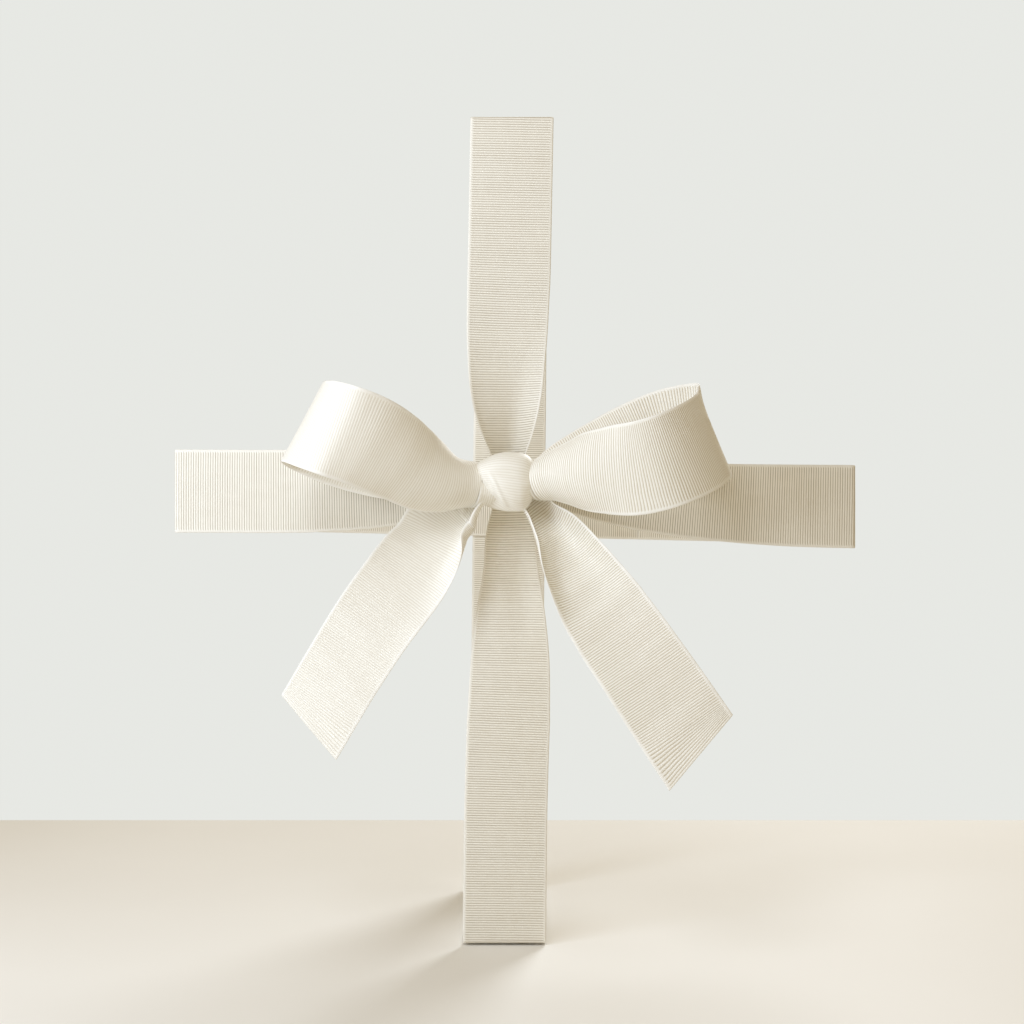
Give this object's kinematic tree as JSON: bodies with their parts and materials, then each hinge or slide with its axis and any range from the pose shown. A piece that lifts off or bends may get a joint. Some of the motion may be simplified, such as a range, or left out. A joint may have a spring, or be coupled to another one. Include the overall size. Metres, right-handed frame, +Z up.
{
  "type": "ribbon gift bow",
  "caption": "Ribbon gift bow with two loops and two tails bound at a wrapped knot, on crossed ribbon bands that go round a boxed gift.",
  "frame": {"origin": "on the gift's front face, straight behind the knot, at the back of the adhesive pad", "axes": "+Z up along the vertical band, +X to the viewer's right, the bow faces -Y and the pad's back faces +Y"},
  "size_m": [0.2062, 0.1076, 0.2501],
  "materials": {
    "grosgrain": "ribbed ivory grosgrain with a satin sheen",
    "tape": "clear double-sided tape",
    "foam_pad": "white foam",
    "glue": "translucent hot glue",
    "wire": "bright wire"
  },
  "bodies": {
    "wrap": {"vertical_band": "grosgrain", "horizontal_band": "grosgrain", "vertical_lap_tape": "tape", "horizontal_lap_tape": "tape", "adhesive_pad": "foam_pad", "knot_glue": "glue", "binding_wire": "wire", "knot_wrap": "grosgrain", "loop_waist": "grosgrain", "tail_waist": "grosgrain"},
    "left_loop": {"left_loop": "grosgrain"},
    "right_loop": {"right_loop": "grosgrain"},
    "left_tail": {"left_tail": "grosgrain"},
    "right_tail": {"right_tail": "grosgrain"}
  },
  "joints": [
    {"name": "left_loop_swing", "type": "hinge", "parent": "wrap", "child": "left_loop", "pos_m": [-0.0105, -0.0145, -0.0018], "axis": [0.27, 0, 0.9629], "range_deg": [-4, 35], "stiffness_Nm_per_rad": 0.004},
    {"name": "right_loop_swing", "type": "hinge", "parent": "wrap", "child": "right_loop", "pos_m": [0.0107, -0.0155, 0.0006], "axis": [0.27, 0, -0.9629], "range_deg": [-4, 35], "stiffness_Nm_per_rad": 0.004},
    {"name": "left_tail_lift", "type": "hinge", "parent": "wrap", "child": "left_tail", "pos_m": [-0.0105, -0.0085, -0.0098], "axis": [-0.8, 0, 0.6], "range_deg": [-3, 30], "stiffness_Nm_per_rad": 0.003},
    {"name": "right_tail_lift", "type": "hinge", "parent": "wrap", "child": "right_tail", "pos_m": [0.0102, -0.0085, -0.0102], "axis": [-0.8202, 0, -0.5721], "range_deg": [-18, 35], "stiffness_Nm_per_rad": 0.003}
  ]
}
